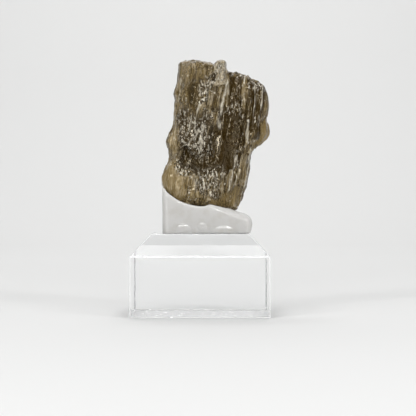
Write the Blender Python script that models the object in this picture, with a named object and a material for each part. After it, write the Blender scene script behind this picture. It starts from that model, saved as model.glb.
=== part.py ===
"""Impact glass on a display block.

A lump of natural glass, fluted along its length, stands in a bed of clear putty on a bevelled
acrylic block. Front is -Y, up is +Z, and the origin is under the middle of the whole thing.
"""

import bmesh
import bpy
import numpy as np

MM = 0.001
GAP = 0.3 * MM  # clearance between pieces that touch
BED_GAP = 0.45 * MM  # and between the putty and the rough foot of the stone

# Display block: cut and polished acrylic, with a wide bevel round the top face
BLOCK_SIDE = 31.75 * MM
BLOCK_HEIGHT = 18.8 * MM
BLOCK_MIDDLE_X = -0.4 * MM  # the stone hangs over on the right, so the block is off the middle
BEVEL_INSET = 4.6 * MM
BEVEL_DROP = 5.0 * MM
POLISHED_EDGE = 0.15 * MM

# Stone: a thick slab of glass, 26 mm wide and 36 mm tall
STONE_MIDDLE_X = 3.2 * MM
STONE_FOOT_Z = 24.1 * MM
STONE_FRONT = 5.6 * MM  # from the middle plane to the front face
STONE_BACK = 5.6 * MM
STONE_TWIST = 0.10  # how much the right side is set back, for each step to the right
STONE_RIM = 4.6 * MM  # rounding between the faces and the rim
STONE_OUTLINE = (  # x from the stone's middle and z from its foot, in mm, clockwise from the top left
    (-9.0, 33.1), (-9.0, 34.3), (-8.3, 35.2), (-6.9, 35.6), (-3.4, 35.5), (-0.5, 34.8),
    (0.1, 35.3), (1.8, 35.5), (2.7, 34.9), (2.9, 33.2), (5.6, 32.7), (8.1, 31.8), (11.0, 30.6),
    (12.0, 29.3), (12.7, 26.6), (12.9, 24.2), (12.3, 21.4), (12.7, 20.1), (13.0, 18.5),
    (12.6, 17.3), (11.4, 16.2), (9.3, 14.4), (8.6, 12.6), (8.4, 10.0), (7.9, 7.5), (6.9, 3.9),
    (5.6, 1.0), (4.9, 0.1), (3.0, 0.0), (0.1, 0.6), (-1.4, 0.9), (-2.7, 0.5), (-5.2, 0.7),
    (-8.4, 1.7), (-10.9, 3.3), (-12.1, 4.6), (-12.9, 7.5), (-12.4, 9.2), (-11.0, 11.9),
    (-10.9, 13.6), (-11.8, 16.1), (-11.4, 17.6), (-10.2, 20.6), (-10.2, 23.1), (-9.8, 26.4),
    (-10.1, 27.4), (-9.3, 30.0),
)

# Plates, ledges and lobes of the front: middle x and z, width and height, soft edge and how far
# each stands proud of the face, all in mm
FRONT_FORMS = {
    "upper left shell": (-4.6, 29.8, 12.6, 12.5, 0.8, 0.9),
    "hollow in the shell": (-4.9, 26.8, 3.6, 5.0, 1.4, -0.8),
    "flake on the top edge": (1.2, 32.2, 3.2, 7.0, 0.3, 0.65),
    "sunk plate": (4.0, 28.4, 3.4, 9.0, 0.6, -1.1),
    "right shoulder": (9.8, 24.5, 5.6, 13.0, 0.8, 0.3),
    "side lobe": (11.6, 18.0, 3.6, 6.0, 1.2, -1.2),
    "sunk middle": (2.8, 16.4, 6.0, 13.0, 1.0, -0.7),
    "jagged crust": (-5.4, 19.0, 7.6, 9.4, 0.6, 1.0),
    "recess under the crust": (-4.8, 12.6, 7.6, 3.4, 0.9, -1.3),
    "lower left lobe": (-7.6, 6.4, 9.0, 8.6, 1.8, 0.6),
    "lower right ribs": (5.6, 9.0, 3.4, 9.0, 0.8, 0.6),
    "worn foot": (3.4, 2.2, 6.0, 4.2, 1.6, -0.4),
}
# The back has fewer and broader forms, laid out in the same way
BACK_FORMS = {
    "back keel": (2.6, 18.0, 6.4, 20.0, 3.0, 1.6),
    "back shelf": (8.6, 24.0, 4.0, 12.0, 1.6, 0.5),
    "thin lower corner": (-8.4, 6.0, 10.0, 12.0, 3.0, -3.2),
    "thin upper corner": (-7.6, 30.0, 6.0, 10.0, 2.4, -1.8),
    "hollow behind the flake": (1.5, 32.4, 3.4, 7.4, 1.6, -2.4),
    "hollow behind the lobe": (11.2, 17.8, 4.4, 7.0, 1.6, -1.6),
    "back foot": (3.6, 3.4, 9.0, 7.0, 2.4, -1.2),
}
# Places where the rim is steep: laid out in the same way, with how many times steeper it is
STEEP_PLACES = {"flake": (1.2, 32.0, 3.6, 8.0, 0.6, 2.6)}
# Ridges that stand on the front: x and z of the top, x and z of the foot, width and height, in mm
RIDGES = {
    "splinter": (2.8, 29.9, 1.5, 24.6, 1.2, 1.3),
    "splinter tail": (1.5, 24.8, 0.7, 19.6, 1.2, 0.7),
    "bright rib": (7.6, 20.6, 7.0, 15.8, 1.0, 0.6),
    "right rib": (8.0, 12.4, 6.7, 5.4, 1.0, 0.7),
    "middle rib": (4.7, 12.4, 3.7, 6.4, 1.0, 0.6),
    "crust splinter": (-3.7, 24.4, -4.9, 20.4, 1.0, 0.8),
}

GRAIN_LEAN = np.radians(8.0)  # the flutes run up and a little to the right
RAGGED_SIZE = (2.4 * MM, 3.6 * MM)  # width and height of the waves along a form's edges
RAGGED_SHIFT = (1.1 * MM, 2.2 * MM)
# Cells of the grain, broad and narrow: mean width, depth and length, how hollow each is, and the
# most that it lies below the next
SCOOP_SIZE, SCOOP_DEPTH, SCOOP_STEP = (4.2 * MM, 4.6 * MM, 22.0 * MM), 0.9 * MM, 1.1 * MM
FLUTE_SIZE, FLUTE_DEPTH, FLUTE_STEP = (1.5 * MM, 1.7 * MM, 13.0 * MM), 0.5 * MM, 0.45 * MM
SCOOP_AT_RIM = 0.15  # share of the broad cuts that is left at the rim
FLUTE_AT_RIM = 0.6  # and of the narrow ones
HOLLOW_SPREAD = 0.7  # how far a hollow spreads before it meets the next: less leaves flats
RAGGED_SEED, SCOOP_SEED, FLUTE_SEED = 7, 12, 21
RANDOM_CELLS = 16  # the random places repeat after this many cells or waves
CREST_SPARE = 0.45 * MM  # the outline is that of the crests, which stand this far out
FINE_GRAIN = 0.25 * MM  # mean depth of the hair-fine grain, which the solid leaves out

STONE_STEP = 0.42 * MM  # grid that the stone's surface is read on
STONE_KEEP = 0.2  # share of its faces kept, the flat places losing most

# Putty: a pressed lump, straight at its left end and round at its right
PUTTY_FRONT = 7.2 * MM
PUTTY_BACK = 6.4 * MM
PUTTY_RIM = 1.6 * MM
PUTTY_GRIP = 0.5 * MM  # how far it rises past the edge of the stone
PUTTY_STEP = 0.6 * MM
PUTTY_KEEP = 0.18
PUTTY_OUTLINE = (  # x from the block's middle and z from the block's top, in mm
    (-8.8, -4.0), (-8.8, 0.0), (-8.8, 4.0), (-8.8, 9.8), (-8.0, 10.4), (0.0, 8.4), (8.1, 5.3),
    (10.4, 4.6), (11.7, 3.6), (12.1, 2.4), (12.0, 1.2), (11.4, -1.0), (11.2, -4.0),
)


def clear_scene():
    for obj in list(bpy.data.objects):
        bpy.data.objects.remove(obj, do_unlink=True)


def material(name, colour, roughness, transmission):
    made = bpy.data.materials.new(name)
    made.use_nodes = True
    shader = made.node_tree.nodes["Principled BSDF"]
    shader.inputs["Base Color"].default_value = (*colour, 1.0)
    shader.inputs["Roughness"].default_value = roughness
    shader.inputs["Metallic"].default_value = 0.0
    shader.inputs["IOR"].default_value = 1.49
    shader.inputs["Transmission Weight"].default_value = transmission
    made.diffuse_color = (*colour, 1.0)
    return made


def add_object(name, points, faces, finish):
    mesh = bpy.data.meshes.new(name)
    mesh.from_pydata(points, [], faces)
    mesh.materials.append(finish)
    obj = bpy.data.objects.new(name, mesh)
    bpy.context.scene.collection.objects.link(obj)
    return obj


def rounded_curve(corners, pieces=4):
    """Points of a closed Catmull-Rom curve through the corners."""
    before, start = np.roll(corners, 1, axis=0), corners
    end, after = np.roll(corners, -1, axis=0), np.roll(corners, -2, axis=0)
    points = []
    for t in np.arange(pieces) / pieces:
        bend = (2 * before - 5 * start + 4 * end - after) * t**2
        turn = (3 * start - before - 3 * end + after) * t**3
        points.append(start + 0.5 * ((end - before) * t + bend + turn))
    return np.stack(points, axis=1).reshape(-1, 2)


def inset_from(outline, x, z):
    """How far each place lies inside a closed outline, and below zero outside it."""
    place = np.stack((x, z), axis=-1)
    nearest = np.full(x.shape, np.inf)
    inside = np.zeros(x.shape, bool)
    for start, end in zip(outline, np.roll(outline, -1, axis=0)):
        side = end - start
        along = np.clip(((place - start) @ side) / (side @ side), 0, 1)
        away = place - start - along[..., None] * side
        nearest = np.minimum(nearest, np.hypot(away[..., 0], away[..., 1]))
        crosses = (start[1] > z) != (end[1] > z)
        rise = side[1] if side[1] else 1.0
        inside ^= crosses & (x < start[0] + side[0] * (z - start[1]) / rise)
    return np.where(inside, nearest, -nearest)


def rounded_slab(inset, across, rim):
    """Depth inside a slab from its depth inside the outline and the faces, the edge rounded."""
    a, b = rim - inset, rim - across
    corner = np.hypot(np.maximum(a, 0), np.maximum(b, 0))
    return rim - corner - np.minimum(np.maximum(a, b), 0)


def waves(x, z, seed):
    """Smooth waves over a face, between -1 and 1."""
    heights = np.random.default_rng(seed).random((RANDOM_CELLS, RANDOM_CELLS)) * 2 - 1
    place = np.stack((x / RAGGED_SIZE[0], z / RAGGED_SIZE[1]), axis=-1)
    cell = np.floor(place).astype(int)
    t = place - cell
    t = t * t * (3 - 2 * t)
    total = np.zeros(x.shape)
    for i, j in np.ndindex(2, 2):
        share = abs(1 - i - t[..., 0]) * abs(1 - j - t[..., 1])
        wrapped = (cell + (i, j)) % RANDOM_CELLS
        total += share * heights[wrapped[..., 0], wrapped[..., 1]]
    return total


def sum_of_forms(x, z, forms):
    """How far the plates, ledges and lobes of a face stand out at each place."""
    ragged_x = x + RAGGED_SHIFT[0] * waves(x, z, RAGGED_SEED)
    ragged_z = z + RAGGED_SHIFT[1] * waves(x, z, RAGGED_SEED + 1)
    total = np.zeros(x.shape)
    for form in forms.values():
        middle_x, middle_z, width, height, edge, proud = (value * MM for value in form)
        leaning = ragged_x - middle_x - (z - middle_z) * np.tan(GRAIN_LEAN)
        from_edge = np.minimum(width / 2 - abs(leaning), height / 2 - abs(ragged_z - middle_z))
        t = np.clip(from_edge / edge + 0.5, 0, 1)
        total += proud * t * t * (3 - 2 * t)
    return total


def ridge_height(x, z):
    """How far the ridges stand out at each place: sharp crests that run out downwards."""
    height = np.zeros(x.shape)
    for ridge in RIDGES.values():
        top_x, top_z, foot_x, foot_z, width, proud = (value * MM for value in ridge)
        along = np.clip((top_z - z) / (top_z - foot_z), 0, 1)
        sideways = (x - top_x - (foot_x - top_x) * along) / (width / 2)
        beyond = np.maximum(np.maximum(z - top_z, foot_z - z), 0) / MM
        crest = np.clip(1 - np.hypot(sideways, beyond), 0, 1)
        height = np.maximum(height, proud * crest * (1 - 0.5 * along))
    return height


def along_grain(points):
    """Points turned so that their third number runs along the stone's grain."""
    x, y, z = points[..., 0], points[..., 1], points[..., 2]
    across = x * np.cos(GRAIN_LEAN) - z * np.sin(GRAIN_LEAN)
    along = x * np.sin(GRAIN_LEAN) + z * np.cos(GRAIN_LEAN)
    return np.stack((across, y, along), axis=-1)


def grain_cut(points, size, hollow, step, seed):
    """Depth cut by long cells of one size: each is hollow, and lies higher or lower than the next."""
    random = np.random.default_rng(seed).random((RANDOM_CELLS, RANDOM_CELLS, RANDOM_CELLS, 4))
    place = along_grain(points) / np.array(size)
    cell = np.floor(place).astype(int)
    nearest = np.full(place.shape[:-1], np.inf)
    own_height = np.zeros(place.shape[:-1])
    for shift in np.ndindex(3, 3, 3):
        other = cell + np.array(shift) - 1
        wrapped = other % RANDOM_CELLS
        drawn = random[wrapped[..., 0], wrapped[..., 1], wrapped[..., 2]]
        away = ((other + drawn[..., :3] - place) ** 2).sum(axis=-1)
        closer = away < nearest
        nearest[closer] = away[closer]
        own_height[closer] = drawn[..., 3][closer]
    return hollow * np.clip(1 - nearest / HOLLOW_SPREAD, 0, 1) + step * own_height


def stone_depth(points):
    """How deep each point lies inside the stone, and below zero outside it."""
    x = points[..., 0] - STONE_MIDDLE_X
    z = points[..., 2] - STONE_FOOT_Z
    outline = rounded_curve(np.array(STONE_OUTLINE) * MM)
    face_x, face_z = x[:, 0, :], z[:, 0, :]
    steepness = 1 + sum_of_forms(face_x, face_z, STEEP_PLACES) / MM
    inset = inset_from(outline, face_x, face_z) * steepness
    front = STONE_FRONT + sum_of_forms(face_x, face_z, FRONT_FORMS) + ridge_height(face_x, face_z)
    back = STONE_BACK + sum_of_forms(face_x, face_z, BACK_FORMS)
    inset, front, back = (face[:, None, :] for face in (inset, front, back))
    y = points[..., 1] - STONE_TWIST * x
    across = np.where(y < 0, front, back) - abs(y) - FINE_GRAIN
    depth = rounded_slab(inset + CREST_SPARE, across, STONE_RIM)
    scoop_share = np.clip(inset / STONE_RIM, SCOOP_AT_RIM, 1)
    flute_share = np.clip(inset / STONE_RIM, FLUTE_AT_RIM, 1)
    depth -= scoop_share * grain_cut(points, SCOOP_SIZE, SCOOP_DEPTH, SCOOP_STEP, SCOOP_SEED)
    return depth - flute_share * grain_cut(points, FLUTE_SIZE, FLUTE_DEPTH, FLUTE_STEP, FLUTE_SEED)


def putty_depth(points):
    """How deep each point lies inside the putty, which fills in under the stone."""
    x = points[..., 0] - BLOCK_MIDDLE_X
    y = points[..., 1]
    height = points[..., 2] - BLOCK_HEIGHT
    outline = rounded_curve(np.array(PUTTY_OUTLINE) * MM)
    inset = inset_from(outline, x[:, 0, :], height[:, 0, :])[:, None, :]
    across = np.where(y < 0, PUTTY_FRONT, PUTTY_BACK) - abs(y)
    lump = rounded_slab(inset, across, PUTTY_RIM)
    stone_outline = rounded_curve(np.array(STONE_OUTLINE) * MM)
    stone_x, stone_z = points[:, 0, :, 0] - STONE_MIDDLE_X, points[:, 0, :, 2] - STONE_FOOT_Z
    under = PUTTY_GRIP - inset_from(stone_outline, stone_x, stone_z)[:, None, :]
    clear_of_stone = -stone_depth(points) - BED_GAP
    return np.minimum(np.minimum(lump, under), np.minimum(clear_of_stone, height - GAP))


def fill_pinches(depth, filling=0.001 * MM):
    """Where the solid would touch itself along an edge, the gap there is filled in."""
    while True:
        inside = depth > 0
        filled = 0
        for axis, other in ((0, 1), (1, 2), (0, 2)):
            a = np.moveaxis(inside, (axis, other), (0, 1))
            d = np.moveaxis(depth, (axis, other), (0, 1))
            same = (a[:-1, :-1] == a[1:, 1:]) & (a[1:, :-1] == a[:-1, 1:])
            pinched = same & (a[:-1, :-1] != a[1:, :-1])
            for i, j in ((0, 0), (1, 0), (0, 1), (1, 1)):
                corner = d[i : d.shape[0] - 1 + i, j : d.shape[1] - 1 + j]
                fill = pinched & (corner <= 0)
                corner[fill] = filling
                filled += fill.sum()
        if not filled:
            return depth


def largest_body(points, faces):
    """The piece itself, without the crumbs that lie loose beside it."""
    body = np.arange(len(points))
    while True:
        joined = body.copy()
        np.minimum.at(joined, faces, body[faces].min(axis=1)[:, None])
        joined = joined[joined]
        if (joined == body).all():
            break
        body = joined
    kept = body == np.bincount(body).argmax()
    number = np.cumsum(kept) - 1
    return points[kept], number[faces[kept[faces[:, 0]]]]


def solid_where(depth_of, low, high, step):
    """Points and faces of the closed surface on which depth_of is zero, read on a grid."""
    counts = np.ceil((high - low) / step).astype(int) + 1
    grid = np.stack(np.meshgrid(*(np.arange(n) for n in counts), indexing="ij"), axis=-1)
    depth = fill_pinches(depth_of(low + grid * step))
    total = np.zeros((*(counts - 1), 3))
    hits = np.zeros(counts - 1)
    edges = []
    for axis in range(3):
        turn = (axis, (axis + 1) % 3, (axis + 2) % 3)
        d = depth.transpose(turn)
        start, end = d[:-1], d[1:]
        crossed = (start > 0) != (end > 0)
        share = np.where(crossed, start / np.where(crossed, start - end, 1), 0)
        place = grid.transpose(*turn, 3)[:-1].astype(float)
        place[..., axis] += share
        place *= crossed[..., None]
        into, count = total.transpose(*turn, 3), hits.transpose(turn)
        for j, k in np.ndindex(2, 2):
            cut = (slice(None), slice(j, d.shape[1] - 1 + j), slice(k, d.shape[2] - 1 + k))
            into += place[cut]
            count += crossed[cut]
        edges.append((turn, crossed, start > 0))
    number = np.full(hits.shape, -1)
    number[hits > 0] = np.arange((hits > 0).sum())
    points = low + step * total[hits > 0] / hits[hits > 0][:, None]
    faces = []
    for turn, crossed, outward in edges:
        n = number.transpose(turn)
        i, j, k = np.nonzero(crossed)
        ring = np.stack((n[i, j - 1, k - 1], n[i, j, k - 1], n[i, j, k], n[i, j - 1, k]), axis=1)
        faces.append(np.where(outward[i, j, k][:, None], ring, ring[:, ::-1]))
    return largest_body(points, np.concatenate(faces))


def natural_piece(name, depth_of, low, high, step, keep, finish):
    """A piece read from its depth_of in the box from low to high, in mm."""
    points, faces = solid_where(depth_of, np.array(low) * MM, np.array(high) * MM, step)
    piece = add_object(name, points.tolist(), faces.tolist(), finish)
    piece.data.shade_smooth()
    fewer = piece.modifiers.new("fewer faces", "DECIMATE")
    fewer.ratio = keep
    return piece


def display_block(finish):
    half = BLOCK_SIDE / 2
    levels = (
        (half, 0.0),
        (half, BLOCK_HEIGHT - BEVEL_DROP),
        (half - BEVEL_INSET, BLOCK_HEIGHT),
    )
    shape = bmesh.new()
    rings = []
    for reach, height in levels:
        corners = ((-reach, -reach), (reach, -reach), (reach, reach), (-reach, reach))
        rings.append([shape.verts.new((x, y, height)) for x, y in corners])
    shape.faces.new(rings[0][::-1])
    shape.faces.new(rings[-1])
    for lower, upper in zip(rings, rings[1:]):
        for i in range(4):
            j = (i + 1) % 4
            shape.faces.new((lower[i], lower[j], upper[j], upper[i]))
    mesh = bpy.data.meshes.new("display_block")
    shape.to_mesh(mesh)
    shape.free()
    mesh.materials.append(finish)
    block = bpy.data.objects.new("display_block", mesh)
    block.location.x = BLOCK_MIDDLE_X
    bpy.context.scene.collection.objects.link(block)
    polish = block.modifiers.new("polished edges", "BEVEL")
    polish.width = POLISHED_EDGE
    polish.segments = 1
    return block


def build():
    clear_scene()
    glass = material("impact glass", (0.24, 0.20, 0.11), 0.15, 1.0)
    gel = material("display putty", (0.74, 0.75, 0.76), 0.2, 0.4)
    acrylic = material("clear acrylic", (0.96, 0.97, 0.97), 0.02, 1.0)
    display_block(acrylic)
    natural_piece(
        "impact_glass",
        stone_depth,
        (-11.5, -9.5, 22.5),
        (18.0, 9.5, 61.5),
        STONE_STEP,
        STONE_KEEP,
        glass,
    )
    natural_piece(
        "putty",
        putty_depth,
        (-10.5, -9.0, 18.2),
        (14.0, 9.0, 30.0),
        PUTTY_STEP,
        PUTTY_KEEP,
        gel,
    )


build()
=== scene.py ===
import bmesh
import bpy
import numpy as np
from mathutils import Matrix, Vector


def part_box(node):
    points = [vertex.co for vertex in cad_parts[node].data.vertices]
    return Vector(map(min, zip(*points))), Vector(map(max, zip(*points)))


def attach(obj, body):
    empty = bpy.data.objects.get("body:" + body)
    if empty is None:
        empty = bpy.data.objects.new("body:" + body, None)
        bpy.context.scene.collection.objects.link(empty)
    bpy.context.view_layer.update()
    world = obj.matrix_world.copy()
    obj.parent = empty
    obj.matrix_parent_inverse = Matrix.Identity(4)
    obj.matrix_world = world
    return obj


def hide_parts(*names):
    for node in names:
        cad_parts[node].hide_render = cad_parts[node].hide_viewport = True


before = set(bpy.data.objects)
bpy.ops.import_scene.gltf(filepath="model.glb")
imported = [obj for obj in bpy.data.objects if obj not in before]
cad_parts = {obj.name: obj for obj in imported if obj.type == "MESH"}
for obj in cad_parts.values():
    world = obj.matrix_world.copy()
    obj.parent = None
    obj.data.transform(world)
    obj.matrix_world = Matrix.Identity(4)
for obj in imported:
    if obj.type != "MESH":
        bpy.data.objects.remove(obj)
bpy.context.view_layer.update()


# ---------------------------------------------------------------- Display block
# A block of clear cast acrylic, sawn square, with a wide bevel milled round its top face. Its
# faces are polished, and its underside and its scraped edges are left satin. It stands loose.

MM = 0.001
BEVEL_INSET = 4.6 * MM
BEVEL_DROP = 5.0 * MM
EDGE_ROUND = 0.24 * MM
EDGE_STEPS = 3

ACRYLIC_IOR = 1.49
POLISHED_COLOUR = (0.985, 0.99, 0.992, 1.0)
SCRAPED_COLOUR = (0.96, 0.965, 0.97, 1.0)
SCRAPED = 1  # which of the block's two materials is the scraped one

block_low, block_high = (np.array(corner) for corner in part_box("display_block"))
block_middle_x = (block_low[0] + block_high[0]) / 2
block_half = (block_high[0] - block_low[0]) / 2
block_top = block_high[2]


def add_bevelled_box(shape):
    """The block's flat faces, between three square rings of corners."""
    rings = []
    for reach, height in (
        (block_half, 0.0),
        (block_half, block_top - BEVEL_DROP),
        (block_half - BEVEL_INSET, block_top),
    ):
        corners = ((-reach, -reach), (reach, -reach), (reach, reach), (-reach, reach))
        rings.append([shape.verts.new((block_middle_x + x, y, height)) for x, y in corners])
    shape.faces.new(rings[0][::-1])
    shape.faces.new(rings[-1])
    for lower, upper in zip(rings, rings[1:]):
        for i in range(4):
            j = (i + 1) % 4
            shape.faces.new((lower[i], lower[j], upper[j], upper[i]))


def block_mesh():
    """The bevelled block with narrow rounded edges: these and its underside are scraped."""
    shape = bmesh.new()
    add_bevelled_box(shape)
    rounded = bmesh.ops.bevel(
        shape,
        geom=list(shape.edges),
        offset=EDGE_ROUND,
        offset_type="OFFSET",
        segments=EDGE_STEPS,
        profile=0.5,
        affect="EDGES",
        clamp_overlap=True,
    )
    for face in rounded["faces"]:
        face.smooth = True
        face.material_index = SCRAPED
    shape.normal_update()
    underside = min(shape.faces, key=lambda face: face.normal.z)
    underside.material_index = SCRAPED
    mesh = bpy.data.meshes.new("acrylic block")
    shape.to_mesh(mesh)
    shape.free()
    return mesh


def new_object(name, mesh, *materials):
    """An object in the scene, of a mesh and the materials of its faces."""
    for material in materials:
        mesh.materials.append(material)
    made = bpy.data.objects.new(name, mesh)
    bpy.context.scene.collection.objects.link(made)
    return made


def new_material(name):
    """A material with its node tree and its Principled shader."""
    made = bpy.data.materials.new(name)
    made.use_nodes = True
    return made, made.node_tree, made.node_tree.nodes["Principled BSDF"]


def from_to(tree, value, low, high, to_low=0.0, to_high=1.0):
    """A value that goes from to_low to to_high while another one goes from low to high."""
    made = tree.nodes.new("ShaderNodeMapRange")
    ends = {"From Min": low, "From Max": high, "To Min": to_low, "To Max": to_high}
    for name, number in ends.items():
        made.inputs[name].default_value = number
    tree.links.new(value, made.inputs["Value"])
    return made.outputs["Result"]


SMEAR_START = 0.62  # the strength of the noise where a smear begins
SMEAR_FULL = 0.75  # and where it is full


def handling_marks():
    """Faint smears and dust from fingers: Mask is 0 on a clean place and 1 on a marked one."""
    group = bpy.data.node_groups.new("handling marks", "ShaderNodeTree")
    group.interface.new_socket("Smears per metre", in_out="INPUT", socket_type="NodeSocketFloat")
    group.interface.new_socket("Spread", in_out="INPUT", socket_type="NodeSocketFloat")
    group.interface.new_socket("Mask", in_out="OUTPUT", socket_type="NodeSocketFloat")
    nodes, links = group.nodes, group.links
    given, result = nodes.new("NodeGroupInput"), nodes.new("NodeGroupOutput")
    place = nodes.new("ShaderNodeTexCoord")
    smear = nodes.new("ShaderNodeTexNoise")
    smear.inputs["Detail"].default_value = 6.0
    smear.inputs["Roughness"].default_value = 0.6
    start = nodes.new("ShaderNodeMath")
    start.operation = "SUBTRACT"
    start.inputs[0].default_value = SMEAR_START
    links.new(place.outputs["Object"], smear.inputs["Vector"])
    links.new(given.outputs["Smears per metre"], smear.inputs["Scale"])
    links.new(given.outputs["Spread"], start.inputs[1])
    mask = from_to(group, smear.outputs["Fac"], SMEAR_START, SMEAR_FULL)
    links.new(start.outputs["Value"], mask.node.inputs["From Min"])
    links.new(mask, result.inputs["Mask"])
    return group


marks = handling_marks()


def marks_on(tree, smears_per_metre, spread):
    """The handling marks placed in a material: how marked each place is."""
    placed = tree.nodes.new("ShaderNodeGroup")
    placed.node_tree = marks
    placed.inputs["Smears per metre"].default_value = smears_per_metre
    placed.inputs["Spread"].default_value = spread
    return placed.outputs["Mask"]


def acrylic(name, colour, transmission, smears, clean, marked):
    """Acrylic with its roughness where it is clean and where it is smeared.

    The smears are given as how many there are per metre and how far they spread.
    """
    made, tree, shader = new_material(name)
    shader.inputs["Base Color"].default_value = colour
    shader.inputs["IOR"].default_value = ACRYLIC_IOR
    shader.inputs["Transmission Weight"].default_value = transmission
    roughness = from_to(tree, marks_on(tree, *smears), 0.0, 1.0, clean, marked)
    tree.links.new(roughness, shader.inputs["Roughness"])
    return made


acrylic_block = new_object(
    "acrylic_block",
    block_mesh(),
    acrylic("clear acrylic", POLISHED_COLOUR, 1.0, (180.0, 0.1), clean=0.0, marked=0.05),
    acrylic("scraped acrylic", SCRAPED_COLOUR, 0.55, (500.0, 0.15), clean=0.22, marked=0.32),
)
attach(acrylic_block, "root")
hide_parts("display_block")


# ---------------------------------------------------------------- Stone
# A lump of natural impact glass, olive-brown and see-through, etched in the ground into long
# flutes with sharp crests. It is as found: nothing was cut, and only the putty holds it.

STONE_MIDDLE_X = 3.2 * MM
STONE_FOOT_Z = 24.1 * MM
STONE_FRONT = 5.6 * MM
STONE_BACK = 5.6 * MM
STONE_TWIST = 0.10  # how far the right side is set back, for each step to the right
STONE_RIM = 4.6 * MM  # how far in the rounding between the faces and the edge reaches
STONE_OUTLINE = (  # x from the stone's middle and z from its foot, in mm, clockwise from the top left
    (-9.0, 33.1), (-9.0, 34.3), (-8.3, 35.2), (-6.9, 35.6), (-3.4, 35.5), (-0.5, 34.8),
    (0.1, 35.3), (1.8, 35.5), (2.7, 34.9), (2.9, 33.2), (5.6, 32.7), (8.1, 31.8), (11.0, 30.6),
    (12.0, 29.3), (12.7, 26.6), (12.9, 24.2), (12.3, 21.4), (12.7, 20.1), (13.0, 18.5),
    (12.6, 17.3), (11.4, 16.2), (9.3, 14.4), (8.6, 12.6), (8.4, 10.0), (7.9, 7.5), (6.9, 3.9),
    (5.6, 1.0), (4.9, 0.1), (3.0, 0.0), (0.1, 0.6), (-1.4, 0.9), (-2.7, 0.5), (-5.2, 0.7),
    (-8.4, 1.7), (-10.9, 3.3), (-12.1, 4.6), (-12.9, 7.5), (-12.4, 9.2), (-11.0, 11.9),
    (-10.9, 13.6), (-11.8, 16.1), (-11.4, 17.6), (-10.2, 20.6), (-10.2, 23.1), (-9.8, 26.4),
    (-10.1, 27.4), (-9.3, 30.0),
)

# Each form of a face: middle x and z, width and height, soft edge and how far it stands proud, in mm
FRONT_FORMS = {
    "upper left shell": (-4.6, 29.8, 12.6, 12.5, 0.8, 0.9),
    "hollow in the shell": (-4.9, 26.8, 3.6, 5.0, 1.4, -0.8),
    "flake on the top edge": (0.9, 34.2, 3.4, 3.8, 0.3, 0.65),
    "foot of the flake": (1.2, 29.8, 2.6, 5.0, 0.3, 0.65),
    "point of the flake": (1.6, 26.6, 1.3, 1.4, 0.3, 0.65),
    "sunk plate": (4.0, 28.4, 3.4, 9.0, 0.6, -1.1),
    "right shoulder": (9.8, 24.5, 5.6, 13.0, 0.8, 0.3),
    "side lobe": (11.6, 18.0, 3.6, 6.0, 1.2, -1.2),
    "sunk middle": (2.8, 16.4, 6.0, 13.0, 1.0, -0.7),
    "jagged crust": (-5.4, 19.0, 7.6, 9.4, 0.6, 1.0),
    "recess under the crust": (-4.8, 12.6, 7.6, 3.4, 0.9, -1.3),
    "lower left lobe": (-7.6, 6.4, 9.0, 8.6, 1.8, 0.6),
    "lower right ribs": (5.6, 9.0, 3.4, 9.0, 0.8, 0.6),
    "worn foot": (3.4, 2.2, 6.0, 4.2, 1.6, -0.4),
}
# Places where the edge is steeper, laid out in the same way: what is added, as a share of its slope
STEEP_PLACES = {"flake": (1.2, 32.0, 3.6, 8.0, 0.6, 2.6)}
BACK_FORMS = {
    "back keel": (2.6, 18.0, 6.4, 20.0, 3.0, 1.6),
    "back shelf": (8.6, 24.0, 4.0, 12.0, 1.6, 0.5),
    "thin lower corner": (-8.4, 6.0, 10.0, 12.0, 3.0, -3.2),
    "thin upper corner": (-7.6, 30.0, 6.0, 10.0, 2.4, -1.8),
    "hollow behind the flake": (1.5, 32.4, 3.4, 7.4, 1.6, -2.4),
    "hollow behind the lobe": (11.2, 17.8, 4.4, 7.0, 1.6, -1.6),
    "back foot": (3.6, 3.4, 9.0, 7.0, 2.4, -1.2),
}
# Narrow ridges that stand on the front: x and z of the top, x and z of the foot, width and height, in mm
RIDGES = {
    "flake edge": (-0.2, 33.8, 0.5, 29.0, 0.5, 0.4),
    "splinter": (2.8, 29.9, 1.5, 24.6, 1.1, 1.0),
    "splinter tail": (1.5, 24.8, 0.7, 19.6, 1.2, 0.7),
    "plate edge": (7.0, 31.6, 6.8, 25.6, 0.6, 0.6),
    "bright rib": (7.6, 20.6, 7.0, 15.4, 0.9, 1.0),
    "right rib": (8.0, 12.4, 6.7, 5.4, 0.7, 0.7),
    "middle rib": (4.7, 12.4, 3.7, 6.4, 0.8, 0.6),
    "short rib": (4.9, 8.0, 4.2, 5.2, 0.5, 0.5),
    "lower rib": (3.3, 6.6, 2.6, 2.4, 0.6, 0.5),
    "crust splinter": (-3.8, 24.4, -5.0, 20.4, 0.9, 0.8),
    "crust heart": (-3.1, 19.6, -3.5, 14.4, 1.3, 1.1),
    "crust slant": (-4.1, 18.4, -6.5, 15.4, 0.8, 0.7),
    "crust rib": (-5.6, 21.6, -6.6, 17.2, 0.5, 0.4),
    "left edge rib": (-9.2, 20.6, -10.0, 15.4, 0.5, 0.4),
    "shoulder rib": (9.2, 29.0, 9.0, 22.4, 0.6, 0.7),
    "shoulder edge": (11.0, 28.6, 10.4, 21.8, 0.6, 0.8),
    "left rib": (-8.0, 30.4, -8.9, 25.6, 0.8, 0.4),
    "foot rib": (-4.6, 4.6, -5.4, 1.6, 0.5, 0.3),
    "second foot rib": (-1.4, 4.2, -2.0, 0.9, 0.5, 0.3),
    "outer rib": (8.3, 14.2, 7.5, 7.6, 0.6, 0.8),
}
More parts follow.
